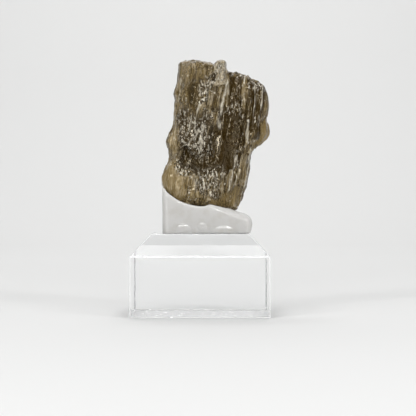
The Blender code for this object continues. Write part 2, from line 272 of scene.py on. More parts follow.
# Places worn smooth: middle x and z, width and height, soft edge, in mm, and how worn
WORN_PLACES = {
    "top of the shell": (-5.4, 32.6, 8.0, 4.0, 1.4, 0.5),
    "hollow in the shell": (-4.9, 26.8, 3.6, 5.0, 1.4, 1.0),
    "sunk plate": (4.0, 28.4, 3.2, 8.6, 0.8, 1.0),
    "side lobe": (11.6, 18.0, 3.2, 5.6, 1.2, 0.9),
    "middle": (2.4, 17.0, 5.2, 12.6, 1.4, 1.0),
    "recess": (-4.6, 12.8, 6.6, 3.0, 0.9, 0.7),
    "lower left lobe": (-10.2, 6.0, 4.6, 6.0, 1.6, 0.8),
    "worn foot": (2.4, 2.2, 7.2, 4.2, 1.4, 0.7),
}
# Places broken into small chips, laid out in the same way
CRACKLED_PLACES = {
    "shoulder corner": (9.9, 29.6, 3.6, 2.6, 0.8, 1.0),
    "shell edge": (-2.1, 28.4, 2.0, 7.6, 0.8, 0.8),
    "jagged crust": (-5.2, 18.6, 7.0, 8.4, 2.4, 0.45),
    "crust splinters": (-3.7, 17.6, 2.2, 7.0, 0.8, 0.7),
    "crust foot": (-5.0, 15.0, 7.4, 1.6, 0.6, 1.0),
    "lower middle": (-1.2, 7.8, 5.6, 6.2, 2.2, 1.0),
    "lower left": (-7.0, 10.0, 4.4, 3.6, 1.4, 0.7),
    "plate foot": (3.0, 23.0, 2.0, 1.2, 0.6, 0.4),
    "flake": (0.8, 31.6, 2.6, 6.4, 0.8, 0.6),
}
# How much darker the glass is painted in a place, or lighter where it is below zero: partly its own
# colour, partly painted shade in the hollows, recesses, sunk places and crust gaps and over the sunk
# middle, and painted light on the foot where the putty shades it
TONE_AND_SHADE_PLACES = {
    # painted shade over the sunk middle
    "middle": (2.6, 16.4, 6.4, 13.8, 1.6, 1.4),
    # painted shade in the hollow of the shell and on the sunk plate
    "hollow in the shell": (-4.9, 26.6, 2.8, 4.6, 1.2, 0.5),
    "sunk plate": (4.3, 28.2, 3.4, 8.8, 0.6, 0.6),
    # painted shade in the recess under the crust and its corner
    "recess": (-4.9, 13.0, 7.2, 2.8, 0.8, 1.0),
    "recess corner": (-2.8, 11.2, 3.6, 2.6, 0.8, 0.7),
    "shoulder streak": (8.4, 24.6, 1.4, 9.6, 0.5, 1.2),
    "edge streak": (10.1, 23.6, 1.5, 11.4, 0.5, 1.2),
    "rim streak": (8.2, 9.4, 0.6, 7.0, 0.4, 0.8),
    # painted shade in the gaps of the crust
    "crust gaps": (-5.4, 18.2, 6.4, 7.6, 1.0, 0.6),
    "flake": (1.2, 34.0, 3.2, 3.6, 0.4, -0.6),
    "flake foot": (1.3, 29.8, 2.4, 4.8, 0.4, -0.6),
    "flake point": (1.6, 26.6, 1.1, 1.4, 0.3, -0.6),
    "left band": (-8.2, 28.6, 1.6, 5.0, 0.6, -0.4),
    "right rim": (12.2, 24.6, 1.2, 8.0, 0.6, 0.15),
    "lobe rim": (12.4, 18.6, 0.8, 4.0, 0.4, -0.15),
    "lower left lobe": (-9.0, 6.4, 8.0, 8.6, 2.0, -0.25),
    "lower rim": (-12.0, 6.8, 1.2, 5.0, 0.6, -0.4),
    "left side": (-9.6, 19.0, 2.0, 9.0, 1.0, -0.25),
    "worn foot": (3.0, 2.4, 6.4, 4.2, 1.2, 0.05),
    # painted light, lifting the putty's shade off the foot
    "foot": (-3.4, 1.9, 7.4, 3.2, 1.0, -0.3),
}
# Places that are white all over
FROSTED_PLACES = {
    "flake": (1.2, 34.0, 3.0, 3.6, 0.4, 0.35),
    "flake foot": (1.4, 29.8, 2.2, 4.8, 0.4, 0.3),
    "flake point": (1.6, 26.6, 1.1, 1.4, 0.3, 0.4),
}
PLAIN_TONE = 0.3
# The back has the same places, turned end for end: what each x and z is taken from, in mm
TURN_X, TURN_Z = 0.6, 34.0

GRAIN_LEAN = np.radians(8.0)
# Edges are ragged: the size of the waves in them, and how far these shift an edge
RAGGED_SIZE = (2.4 * MM, 3.6 * MM)
RAGGED_SHIFT = (1.1 * MM, 2.2 * MM)
# A ridge wanders by RIDGE_SHIFT, in mm, and is broken here and there down to a share of its height
RIDGE_SHIFT = 0.3
RIDGE_WANDER = (4, 2)
RIDGE_BREAKS = (5, 3)
BROKEN_RIDGE = 0.3
RIDGE_TAPER = 0.5
# Cells of the grain, from broad to fine: width, depth and length, how hollow, and the steps between
SCOOP_SIZE, SCOOP_DEPTH, SCOOP_STEP = (4.2 * MM, 4.6 * MM, 22.0 * MM), 0.9 * MM, 1.1 * MM
FLUTE_SIZE, FLUTE_DEPTH, FLUTE_STEP = (1.5 * MM, 1.7 * MM, 13.0 * MM), 0.5 * MM, 0.45 * MM
RIB_SIZE, RIB_DEPTH, RIB_STEP = (0.65 * MM, 0.7 * MM, 7.0 * MM), 0.2 * MM, 0.18 * MM
HAIR_SIZE, HAIR_DEPTH, HAIR_STEP = (0.36 * MM, 0.38 * MM, 3.2 * MM), 0.11 * MM, 0.10 * MM
PIT_SIZE, PIT_DEPTH, PIT_STEP = (0.45 * MM, 0.45 * MM, 0.9 * MM), 0.22 * MM, 0.34 * MM
SCOOP_AT_RIM = 0.15  # share of their depth that the scoops keep at the stone's edge
FLUTE_AT_RIM = 0.6
RIB_WEAR = 0.8  # share of their depth that the ribs lose where the stone is worn
HOLLOW_SPREAD = 0.7  # size of the hollow in each cell
RAGGED_SEED, SCOOP_SEED, FLUTE_SEED, RIB_SEED, HAIR_SEED, PIT_SEED = 7, 12, 21, 33, 46, 58
RANDOM_CELLS = 16
CREST_SPARE = 0.45 * MM  # the crests stand this far outside the outline before the grain is cut

# The surface is read on a grid with these corners, in mm, and these steps. Its first reading has
# steps COARSE times as wide, and the fine one is only made within NEAR_SURFACE of the wide steps.
STONE_LOW, STONE_HIGH = (-11.5, -9.5, 22.5), (18.0, 9.5, 61.5)
STONE_STEP = (0.155 * MM, 0.155 * MM, 0.30 * MM)
COARSE = 3
NEAR_SURFACE = 1.9
FILLING = 0.001 * MM  # how deep inside the stone a place comes to lie where a pinch is filled in



def rounded_curve(corners, pieces=4):
    """Points of a closed Catmull-Rom curve through the corners."""
    before, start = np.roll(corners, 1, axis=0), corners
    end, after = np.roll(corners, -1, axis=0), np.roll(corners, -2, axis=0)
    points = []
    for t in np.arange(pieces) / pieces:
        bend = (2 * before - 5 * start + 4 * end - after) * t**2
        turn = (3 * start - before - 3 * end + after) * t**3
        points.append(start + 0.5 * ((end - before) * t + bend + turn))
    return np.stack(points, axis=1).reshape(-1, 2)


def inset_from(outline, x, z):
    """How far each place lies inside a closed outline, and below zero outside it."""
    place = np.stack((x, z), axis=-1)
    nearest = np.full(x.shape, np.inf)
    inside = np.zeros(x.shape, bool)
    for start, end in zip(outline, np.roll(outline, -1, axis=0)):
        side = end - start
        along = np.clip(((place - start) @ side) / (side @ side), 0, 1)
        away = place - start - along[..., None] * side
        nearest = np.minimum(nearest, np.hypot(away[..., 0], away[..., 1]))
        crosses = (start[1] > z) != (end[1] > z)
        rise = side[1] if side[1] else 1.0
        inside ^= crosses & (x < start[0] + side[0] * (z - start[1]) / rise)
    return np.where(inside, nearest, -nearest)


def rounded_slab(inset, across, rim):
    """Depth inside a slab from its depth inside the outline and the faces, the edge rounded."""
    a, b = rim - inset, rim - across
    corner = np.hypot(np.maximum(a, 0), np.maximum(b, 0))
    return rim - corner - np.minimum(np.maximum(a, b), 0)


def waves(x, z, seed):
    """Smooth waves over a face, between -1 and 1."""
    heights = np.random.default_rng(seed).random((RANDOM_CELLS, RANDOM_CELLS)) * 2 - 1
    place = np.stack((x / RAGGED_SIZE[0], z / RAGGED_SIZE[1]), axis=-1)
    cell = np.floor(place).astype(int)
    t = place - cell
    t = t * t * (3 - 2 * t)
    total = np.zeros(x.shape)
    for i, j in np.ndindex(2, 2):
        share = abs(1 - i - t[..., 0]) * abs(1 - j - t[..., 1])
        wrapped = (cell + (i, j)) % RANDOM_CELLS
        total += share * heights[wrapped[..., 0], wrapped[..., 1]]
    return total


def sum_of_forms(x, z, forms):
    """The forms of a face added up, each with ragged edges."""
    ragged_x = x + RAGGED_SHIFT[0] * waves(x, z, RAGGED_SEED)
    ragged_z = z + RAGGED_SHIFT[1] * waves(x, z, RAGGED_SEED + 1)
    total = np.zeros(x.shape)
    for middle_x, middle_z, width, height, edge, proud in forms.values():
        leaning = ragged_x / MM - middle_x - (z / MM - middle_z) * np.tan(GRAIN_LEAN)
        from_end = height / 2 - abs(ragged_z / MM - middle_z)
        from_edge = np.minimum(width / 2 - abs(leaning), from_end)
        t = np.clip(from_edge / edge + 0.5, 0, 1)
        total += proud * t * t * (3 - 2 * t)
    return total


def along_grain(points):
    """Points turned so that their third number runs along the stone's grain."""
    x, y, z = points[..., 0], points[..., 1], points[..., 2]
    across = x * np.cos(GRAIN_LEAN) - z * np.sin(GRAIN_LEAN)
    along = x * np.sin(GRAIN_LEAN) + z * np.cos(GRAIN_LEAN)
    return np.stack((across, y, along), axis=-1)


def ridge_height(x, z):
    """How far the narrow ridges stand on the front at each place, in mm."""
    height = np.zeros(x.shape)
    wander = waves(RIDGE_WANDER[0] * x, RIDGE_WANDER[1] * z, RAGGED_SEED + 2)
    breaks = waves(RIDGE_BREAKS[0] * x, RIDGE_BREAKS[1] * z, RAGGED_SEED + 3)
    ragged_x = x / MM + RIDGE_SHIFT * wander
    broken = np.clip(1 + breaks, BROKEN_RIDGE, 1)
    for top_x, top_z, foot_x, foot_z, width, proud in RIDGES.values():
        along = np.clip((top_z - z / MM) / (top_z - foot_z), 0, 1)
        middle = top_x + (foot_x - top_x) * along
        beyond = np.maximum(z / MM - top_z, foot_z - z / MM)
        away = np.hypot((ragged_x - middle) / (width / 2), np.maximum(beyond, 0))
        crest = broken * np.clip(1 - away, 0, 1) * (1 - RIDGE_TAPER * along)
        height = np.maximum(height, proud * crest)
    return height


def grain_cells(points, size, seed):
    """Long cells along the grain: how near its middle each point is, and the cell's own height."""
    random = np.random.default_rng(seed).random((RANDOM_CELLS, RANDOM_CELLS, RANDOM_CELLS, 4))
    place = along_grain(points) / np.array(size)
    cell = np.floor(place).astype(int)
    nearest = np.full(place.shape[:-1], np.inf)
    own_height = np.zeros(place.shape[:-1])
    for shift in np.ndindex(3, 3, 3):
        other = cell + np.array(shift) - 1
        wrapped = other % RANDOM_CELLS
        drawn = random[wrapped[..., 0], wrapped[..., 1], wrapped[..., 2]]
        away = ((other + drawn[..., :3] - place) ** 2).sum(axis=-1)
        closer = away < nearest
        nearest[closer] = away[closer]
        own_height[closer] = drawn[..., 3][closer]
    return np.clip(1 - nearest / HOLLOW_SPREAD, 0, 1), own_height


def grain_cut(points, size, hollow, step, seed):
    """Depth cut by long cells of one size: each is hollow, and a step higher or lower than the next."""
    middle, own_height = grain_cells(points, size, seed)
    return hollow * middle + step * own_height


def stone_faces(x, z):
    """For each place: inset, reach to the front and back, and how worn and crackled each face is."""
    x, z = x - STONE_MIDDLE_X, z - STONE_FOOT_Z
    turned = (TURN_X * MM - x, TURN_Z * MM - z)
    outline = rounded_curve(np.array(STONE_OUTLINE) * MM)
    return np.stack(
        (
            inset_from(outline, x, z) * (1 + sum_of_forms(x, z, STEEP_PLACES)),
            STONE_FRONT + MM * (sum_of_forms(x, z, FRONT_FORMS) + ridge_height(x, z)),
            STONE_BACK + MM * sum_of_forms(x, z, BACK_FORMS),
            np.clip(sum_of_forms(x, z, WORN_PLACES), 0, 1),
            np.clip(sum_of_forms(*turned, WORN_PLACES), 0, 1),
            np.clip(sum_of_forms(x, z, CRACKLED_PLACES), 0, 1),
            np.clip(sum_of_forms(*turned, CRACKLED_PLACES), 0, 1),
        ),
        axis=-1,
    )


def stone_depth(points, faces):
    """How deep each point lies inside the stone, and below zero outside it."""
    inset, front, back, front_worn, back_worn, front_crackled, back_crackled = np.moveaxis(faces, -1, 0)
    y = points[..., 1] - STONE_TWIST * (points[..., 0] - STONE_MIDDLE_X)
    front_side = y < 0
    across = np.where(front_side, front, back) - abs(y)
    depth = rounded_slab(inset + CREST_SPARE, across, STONE_RIM)
    inner = inset / STONE_RIM
    scoop_share, flute_share = np.clip(inner, SCOOP_AT_RIM, 1), np.clip(inner, FLUTE_AT_RIM, 1)
    depth -= scoop_share * grain_cut(points, SCOOP_SIZE, SCOOP_DEPTH, SCOOP_STEP, SCOOP_SEED)
    depth -= flute_share * grain_cut(points, FLUTE_SIZE, FLUTE_DEPTH, FLUTE_STEP, FLUTE_SEED)
    worn = np.where(front_side, front_worn, back_worn)
    crackled = np.where(front_side, front_crackled, back_crackled)
    depth -= (1 - RIB_WEAR * worn) * grain_cut(points, RIB_SIZE, RIB_DEPTH, RIB_STEP, RIB_SEED)
    depth -= (1 - worn) * grain_cut(points, HAIR_SIZE, HAIR_DEPTH, HAIR_STEP, HAIR_SEED)
    return depth - crackled * grain_cut(points, PIT_SIZE, PIT_DEPTH, PIT_STEP, PIT_SEED)


def fill_pinches(depth):
    """Where the solid would touch itself along an edge, the gap there is filled in."""
    while True:
        inside = depth > 0
        filled = 0
        for axis, other in ((0, 1), (1, 2), (0, 2)):
            a = np.moveaxis(inside, (axis, other), (0, 1))
            d = np.moveaxis(depth, (axis, other), (0, 1))
            same = (a[:-1, :-1] == a[1:, 1:]) & (a[1:, :-1] == a[:-1, 1:])
            pinched = same & (a[:-1, :-1] != a[1:, :-1])
            for i, j in ((0, 0), (1, 0), (0, 1), (1, 1)):
                corner = d[i : d.shape[0] - 1 + i, j : d.shape[1] - 1 + j]
                fill = pinched & (corner <= 0)
                corner[fill] = FILLING
                filled += fill.sum()
        if not filled:
            return depth


def read_depth(faces_of, depth_of, low, counts, step):
    """depth_of on a grid: coarsely everywhere, then finely near the surface."""
    sparse = [low[i] + step[i] * (COARSE * np.arange(counts[i] // COARSE + 1) + 1) for i in range(3)]
    x, y, z = np.meshgrid(*sparse, indexing="ij")
    faces = faces_of(x[:, 0, :], z[:, 0, :])[:, None, :, :]
    faces = np.broadcast_to(faces, (*x.shape, faces.shape[-1]))
    rough = depth_of(np.stack((x, y, z), axis=-1), faces)
    for axis in range(3):
        rough = rough.repeat(COARSE, axis=axis)
    depth = rough[: counts[0], : counts[1], : counts[2]].copy()
    i, j, k = np.nonzero(abs(depth) < NEAR_SURFACE * COARSE * step.max())
    x, z = (low[axis] + step[axis] * np.arange(counts[axis]) for axis in (0, 2))
    faces = faces_of(*np.meshgrid(x, z, indexing="ij"))
    points = low + step * np.stack((i, j, k), axis=-1)
    depth[i, j, k] = depth_of(points, faces[i, k])
    return depth


def largest_body(points, faces):
    """The piece itself, without the crumbs that lie loose beside it."""
    body = np.arange(len(points))
    while True:
        joined = body.copy()
        np.minimum.at(joined, faces, body[faces].min(axis=1)[:, None])
        joined = joined[joined]
        if (joined == body).all():
            break
        body = joined
    kept = body == np.bincount(body).argmax()
    number = np.cumsum(kept) - 1
    return points[kept], number[faces[kept[faces[:, 0]]]]


def crossings(depth, turn):
    """Where the grid's steps along one axis go through the surface, and which of them go out of it."""
    turned = depth.transpose(turn)
    start, end = turned[:-1], turned[1:]
    crossed = np.nonzero((start > 0) != (end > 0))
    first, last = start[crossed], end[crossed]
    place = np.zeros((len(first), 3), np.float32)
    for axis, steps in zip(turn, crossed):
        place[:, axis] = steps
    place[:, turn[0]] += first / (first - last)
    return crossed, place, first > 0


def faces_round(number, turn, crossed, outward):
    """A face round each crossing, through the points of the four cells that meet there."""
    i, j, k = crossed
    n = number.transpose(turn)
    ring = np.stack((n[i, j - 1, k - 1], n[i, j, k - 1], n[i, j, k], n[i, j - 1, k]), axis=1)
    return np.where(outward[:, None], ring, ring[:, ::-1])


def surface_of(faces_of, depth_of, low, high, step):
    """Points and faces of the closed surface on which depth_of is zero, read on a grid.

    Each cell that the surface goes through has one point, in the middle of the crossings round it.
    """
    low, high, step = np.array(low) * MM, np.array(high) * MM, np.array(step)
    counts = np.ceil((high - low) / step).astype(int) + 1
    depth = fill_pinches(read_depth(faces_of, depth_of, low, counts, step))
    total = np.zeros((*(counts - 1), 3), np.float32)
    hits = np.zeros(counts - 1, np.int8)
    edges = []
    for turn in ((0, 1, 2), (1, 2, 0), (2, 0, 1)):
        crossed, place, outward = crossings(depth, turn)
        into, count = total.transpose(*turn, 3), hits.transpose(turn)
        for j, k in np.ndindex(2, 2):
            cell = (crossed[0], crossed[1] - j, crossed[2] - k)
            into[cell] += place
            count[cell] += 1
        edges.append((turn, crossed, outward))
    number = np.full(hits.shape, -1)
    number[hits > 0] = np.arange((hits > 0).sum())
    points = low + step * total[hits > 0] / hits[hits > 0][:, None]
    faces = [faces_round(number, *edge) for edge in edges]
    return largest_body(points, np.concatenate(faces))


def natural_mesh(name, points, faces):
    """A smooth mesh of points and faces."""
    mesh = bpy.data.meshes.new(name)
    mesh.from_pydata(points.tolist(), [], faces.tolist())
    mesh.shade_smooth()
    return mesh


# Crests are painted white, partly as frost and partly as painted highlight, and hollows are dark with
# painted shade. What counts as either is told by cell_tone there, which goes from 0 in the hollow of a
# sunk cell to 1 on the crest of a proud one.
CREST, SHADED_HOLLOW = (0.5, 0.8), (0.5, 0.2)
PIT_CREST, SHADED_PIT_HOLLOW = (0.78, 0.9), (0.4, 0.25)
RIB_FROST_AND_HIGHLIGHT, HAIR_FROST_AND_HIGHLIGHT, PIT_FROST_AND_HIGHLIGHT, RIDGE_HIGHLIGHT = 0.12, 0.2, 0.8, 0.78
RIB_SHADE, HAIR_SHADE, PIT_SHADE = 0.3, 0.35, 0.8
RIDGE_RISE = (0.1, 0.4)  # a ridge gets a painted highlight over these heights in mm
FACING = (0.2, 0.5)  # and only where it faces the front, where the lamps are, by this much
FRESH_TONES = (1.3, 0.3)  # crests are white on light glass and not on dark glass


def add_share(mesh, name, shares):
    """A number between 0 and 1 at each point of a mesh, for its material to read."""
    mesh.attributes.new(name, "FLOAT", "POINT").data.foreach_set("value", shares.astype(np.float32))


def between(values, low, high):
    """0 where the values are at low and 1 where they are at high."""
    return np.clip((values - low) / (high - low), 0, 1)


def cell_tone(points, size, seed):
    """Low in the hollow of a sunk cell and high on the crest of a proud one, between 0 and 1."""
    middle, own_height = grain_cells(points, size, seed)
    return 0.5 * (1 - middle) + 0.5 * (1 - own_height)


def front_or_back(front_side, x, z, forms):
    """The forms on the front, and the same ones turned end for end on the back."""
    turned = sum_of_forms(TURN_X * MM - x, TURN_Z * MM - z, forms)
    return np.where(front_side, sum_of_forms(x, z, forms), turned)


def add_stone_shares(mesh, points):
    """Where the stone is white with frosting and painted highlights, crackled, fresh, and dark from its
    own colour and painted shade, for its material to read.
    """
    x, z = points[:, 0] - STONE_MIDDLE_X, points[:, 2] - STONE_FOOT_Z
    front_side = points[:, 1] - STONE_TWIST * x < 0
    normals = np.empty(3 * len(points))
    mesh.vertices.foreach_get("normal", normals)
    facing_front = between(-normals[1::3], *FACING)
    worn = np.clip(front_or_back(front_side, x, z, WORN_PLACES), 0, 1)
    crackled = np.clip(front_or_back(front_side, x, z, CRACKLED_PLACES), 0, 1)
    tone_and_shade = PLAIN_TONE + front_or_back(front_side, x, z, TONE_AND_SHADE_PLACES)
    rib = cell_tone(points, RIB_SIZE, RIB_SEED)
    hair = cell_tone(points, HAIR_SIZE, HAIR_SEED)
    pit = cell_tone(points, PIT_SIZE, PIT_SEED)
    # painted highlight on the ridges where they face the front
    ridge = facing_front * RIDGE_HIGHLIGHT * between(ridge_height(x, z), *RIDGE_RISE)
    # crests: white that is partly frost and partly painted highlight
    crests = RIB_FROST_AND_HIGHLIGHT * between(rib, *CREST) + HAIR_FROST_AND_HIGHLIGHT * between(hair, *CREST)
    crests *= (1 - worn) * between(tone_and_shade, *FRESH_TONES) * (1 - PIT_FROST_AND_HIGHLIGHT * crackled)
    light = np.maximum(crests, PIT_FROST_AND_HIGHLIGHT * crackled * between(pit, *PIT_CREST))
    # painted shade: the hollows of the ribs, hairs and pits are darker
    groove_shade = RIB_SHADE * between(rib, *SHADED_HOLLOW) + HAIR_SHADE * between(hair, *SHADED_HOLLOW)
    deep = np.maximum((1 - worn) * groove_shade, PIT_SHADE * crackled * between(pit, *SHADED_PIT_HOLLOW))
    pale = front_or_back(front_side, x, z, FROSTED_PLACES)
    add_share(mesh, "frosted", np.maximum(np.maximum(light, pale), ridge))
    add_share(mesh, "crackled", crackled)
    add_share(mesh, "fresh", 1 - worn)
    add_share(mesh, "tone_and_shade", np.clip((tone_and_shade + deep) * (1 - ridge), 0, 1))


# Streaks, specks and chips: how wide they are across the grain and how long along it, and how far
# each layer is shifted, so that no two lie alike
BROAD_STREAK, BROAD_SHIFT = (1.0 * MM, 12.0 * MM), 0.3
FINE_STREAK, FINE_SHIFT = (0.24 * MM, 3.5 * MM), 0.7
SPECK, SPECK_SHIFT = (0.30 * MM, 0.60 * MM), 0.9
CHIP = (0.30 * MM, 0.60 * MM)
# How much darker or lighter the streaks make the glass, and how much of that is left where it is worn
STREAK_RANGE, STREAK_TONES = (0.20, 0.32), (0.46, -0.16)
WORN_STREAK = 0.4
# A chip has random numbers of its own: those that make it dark, light or a painted glint, and how
# strongly. Dark and light chips are partly the crackle's own colour and partly painted shade and
# sparkle.
DARK_CHIPS, DARK_CHIP_TONE = (0.44, 0.26), 1.5
LIGHT_CHIPS = (0.68, 0.78)
GLINTS, PAINTED_GLINT_WHITE = (0.97, 0.98), 0.7
CHIP_TILT = (0.08, 0.35)
# Frost and painted highlight are patchy: from a weak to a strong speck or streak, the share of the white
# that shows there
SPECKS_IN_WHITE = (0.40, 0.60, 0.5, 1.5)
STREAKS_IN_WHITE = (0.40, 0.60, 0.5, 1.4)
SPECKS_IN_CHIPS = (0.40, 0.56, 0.1, 1.6)
GRAIN_RELIEF, GRAIN_RELIEF_SHARE = 0.12 * MM, 0.12
SPECK_RELIEF, SPECK_HEIGHT = 0.05 * MM, (0.2, 1.0)

LIGHT_GLASS = (0.52, 0.41, 0.235, 1.0)
PLAIN_GLASS = (0.30, 0.213, 0.084, 1.0)
DARK_GLASS = (0.046, 0.026, 0.004, 1.0)
FROST_AND_HIGHLIGHT_COLOUR = (1.0, 0.94, 0.79, 1.0)
GLOSSY, SATIN = 0.03, 0.10
# A Mix node has several sockets of each name: these are the numbers of the ones for colours
MIX_COLOURS, MIXED_COLOUR = (6, 7), 2


def grain_place(tree, size, shift=0.0):
    """Each place, counted in steps of a size that is given across the grain and along it."""
    place = tree.nodes.new("ShaderNodeTexCoord")
    turn = tree.nodes.new("ShaderNodeMapping")
    turn.vector_type = "TEXTURE"
    turn.inputs["Location"].default_value = (shift, 0.0, 0.0)
    turn.inputs["Rotation"].default_value = (0.0, GRAIN_LEAN, 0.0)
    turn.inputs["Scale"].default_value = (size[0], size[0], size[1])
    tree.links.new(place.outputs["Object"], turn.inputs["Vector"])
    return turn.outputs["Vector"]


def grain_streaks(tree, size, shift):
    """Streaks or specks that lie along the grain: a random number that changes smoothly."""
    streaks = tree.nodes.new("ShaderNodeTexNoise")
    streaks.inputs["Scale"].default_value = 1.0
    streaks.inputs["Detail"].default_value = 3.0
    streaks.inputs["Roughness"].default_value = 0.6
    tree.links.new(grain_place(tree, size, shift), streaks.inputs["Vector"])
    return streaks.outputs["Fac"]


def chips(tree, size):
    """Small chips that lie along the grain: a random colour of its own for each."""
    cells = tree.nodes.new("ShaderNodeTexVoronoi")
    cells.distance = "MANHATTAN"
    cells.inputs["Scale"].default_value = 1.0
    tree.links.new(grain_place(tree, size), cells.inputs["Vector"])
    return cells.outputs["Color"]


def tilted(tree, random_colour, share):
    """The surface's normal, turned a random way on every chip."""
    surface = tree.nodes.new("ShaderNodeNewGeometry")
    centred = tree.nodes.new("ShaderNodeVectorMath")
    centred.operation = "SUBTRACT"
    centred.inputs[1].default_value = (0.5, 0.5, 0.5)
    scaled = tree.nodes.new("ShaderNodeVectorMath")
    scaled.operation = "SCALE"
    added = tree.nodes.new("ShaderNodeVectorMath")
    added.operation = "ADD"
    level = tree.nodes.new("ShaderNodeVectorMath")
    level.operation = "NORMALIZE"
    tree.links.new(random_colour, centred.inputs[0])
    tree.links.new(centred.outputs["Vector"], scaled.inputs[0])
    tree.links.new(share, scaled.inputs["Scale"])
    tree.links.new(surface.outputs["Normal"], added.inputs[0])
    tree.links.new(scaled.outputs["Vector"], added.inputs[1])
    tree.links.new(added.outputs["Vector"], level.inputs[0])
    return level.outputs["Vector"]


def bumped(tree, normal, height, depth, strength=1.0):
    """A normal with a relief of a given depth laid over it."""
    relief = tree.nodes.new("ShaderNodeBump")
    relief.inputs["Strength"].default_value = strength
    relief.inputs["Distance"].default_value = depth
    tree.links.new(height, relief.inputs["Height"])
    tree.links.new(normal, relief.inputs["Normal"])
    return relief.outputs["Normal"]


def read_share(tree, name):
    """One of the stone's shares, as the mesh keeps it."""
    share = tree.nodes.new("ShaderNodeAttribute")
    share.attribute_name = name
    return share.outputs["Fac"]


def combined(tree, operation, first, second):
    """Two values added, multiplied or compared by a Math node."""
    made = tree.nodes.new("ShaderNodeMath")
    made.operation = operation
    tree.links.new(first, made.inputs[0])
    tree.links.new(second, made.inputs[1])
    return made.outputs["Value"]


def mixed_colour(tree, share, first, second):
    """One colour that turns into another: each is a colour or a socket."""
    made = tree.nodes.new("ShaderNodeMix")
    made.data_type = "RGBA"
    tree.links.new(share, made.inputs["Factor"])
    for number, colour in zip(MIX_COLOURS, (first, second)):
        if isinstance(colour, tuple):
            made.inputs[number].default_value = colour
        else:
            tree.links.new(colour, made.inputs[number])
    return made.outputs[MIXED_COLOUR]


def glass_tone_and_shade(tree, streak, chip):
    """How dark the glass is: its own colour darkened by painted shade, streaks, weaker where it is worn,
    and dark chips where it is crackled, partly painted shade.
    """
    streak = from_to(tree, streak, *STREAK_RANGE, *STREAK_TONES)
    streak_share = from_to(tree, read_share(tree, "fresh"), 0.0, 1.0, WORN_STREAK, 1.0)
    streak = combined(tree, "MULTIPLY", streak, streak_share)
    tone_and_shade = combined(tree, "ADD", read_share(tree, "tone_and_shade"), streak)
    dark_chip = from_to(tree, chip, *DARK_CHIPS, 0.0, DARK_CHIP_TONE)
    dark_chip = combined(tree, "MULTIPLY", read_share(tree, "crackled"), dark_chip)
    return combined(tree, "ADD", tone_and_shade, dark_chip)


def glass_frost(tree, fine, specks, chip, glint):
    """How white the surface is: specks on the crests, partly frosting and partly painted highlight,
    light chips that are partly painted sparkle, and a few painted glints.
    """
    speckled = from_to(tree, specks, *SPECKS_IN_WHITE)
    speckled = combined(tree, "MULTIPLY", speckled, from_to(tree, fine, *STREAKS_IN_WHITE))
    crests = combined(tree, "MULTIPLY", read_share(tree, "frosted"), speckled)
    light_chip = from_to(tree, chip, *LIGHT_CHIPS)
    light_chip = combined(tree, "MULTIPLY", read_share(tree, "crackled"), light_chip)
    light_chip = combined(tree, "MULTIPLY", light_chip, from_to(tree, specks, *SPECKS_IN_CHIPS))
    # painted glints: a few chips turned white where the stone is fresh
    glint = from_to(tree, glint, *GLINTS, 0.0, PAINTED_GLINT_WHITE)
    glint = combined(tree, "MULTIPLY", glint, read_share(tree, "fresh"))
    return combined(tree, "MAXIMUM", combined(tree, "MAXIMUM", crests, light_chip), glint)


def glass_colour(tree, tone_and_shade, frost):
    """Brown glass from light to dark, darkened by painted shade, under white frosting and painted
    highlights.
    """
    brown = tree.nodes.new("ShaderNodeValToRGB")
    ramp = brown.color_ramp.elements
    ramp[0].color = LIGHT_GLASS
    ramp[1].color = DARK_GLASS
    ramp.new(PLAIN_TONE).color = PLAIN_GLASS
    tree.links.new(tone_and_shade, brown.inputs["Fac"])
    return mixed_colour(tree, frost, brown.outputs["Color"], FROST_AND_HIGHLIGHT_COLOUR)


def glass_normal(tree, fine, specks, chip_colour):
    """The finest relief: chips that face every way, hair-fine grain and specks."""
    crackled = read_share(tree, "crackled")
    chip_normal = tilted(tree, chip_colour, from_to(tree, crackled, 0.0, 1.0, *CHIP_TILT))
    grain_normal = bumped(tree, chip_normal, fine, GRAIN_RELIEF, GRAIN_RELIEF_SHARE)
    height = combined(tree, "MULTIPLY", specks, from_to(tree, crackled, 0.0, 1.0, *SPECK_HEIGHT))
    return bumped(tree, grain_normal, height, SPECK_RELIEF)


def stone_material():
    """Impact glass: see-through brown, satin where it is white with frosting and painted highlights."""
    made, tree, shader = new_material("impact glass")
    shader.inputs["IOR"].default_value = 1.49
    shader.inputs["Transmission Weight"].default_value = 0.5
    shader.inputs["Specular IOR Level"].default_value = 0.33
    shader.inputs["Specular Tint"].default_value = (1.0, 0.90, 0.70, 1.0)
    fine = grain_streaks(tree, FINE_STREAK, FINE_SHIFT)
    specks = grain_streaks(tree, SPECK, SPECK_SHIFT)
    broad = grain_streaks(tree, BROAD_STREAK, BROAD_SHIFT)
    streak = combined(tree, "MULTIPLY", fine, broad)
    chip_colour = chips(tree, CHIP)
    chip = tree.nodes.new("ShaderNodeSeparateColor")
    tree.links.new(chip_colour, chip.inputs["Color"])
    tone_and_shade = glass_tone_and_shade(tree, streak, chip.outputs["Red"])
    frost = glass_frost(tree, fine, specks, chip.outputs["Red"], chip.outputs["Green"])
    roughness = from_to(tree, frost, 0.0, 1.0, GLOSSY, SATIN)
    tree.links.new(glass_colour(tree, tone_and_shade, frost), shader.inputs["Base Color"])
    tree.links.new(roughness, shader.inputs["Roughness"])
    tree.links.new(glass_normal(tree, fine, specks, chip_colour), shader.inputs["Normal"])
    absorb = tree.nodes.new("ShaderNodeVolumeAbsorption")
    absorb.inputs["Color"].default_value = (0.42, 0.30, 0.10, 1.0)
    absorb.inputs["Density"].default_value = 190.0
    tree.links.new(absorb.outputs["Volume"], tree.nodes["Material Output"].inputs["Volume"])
    return made


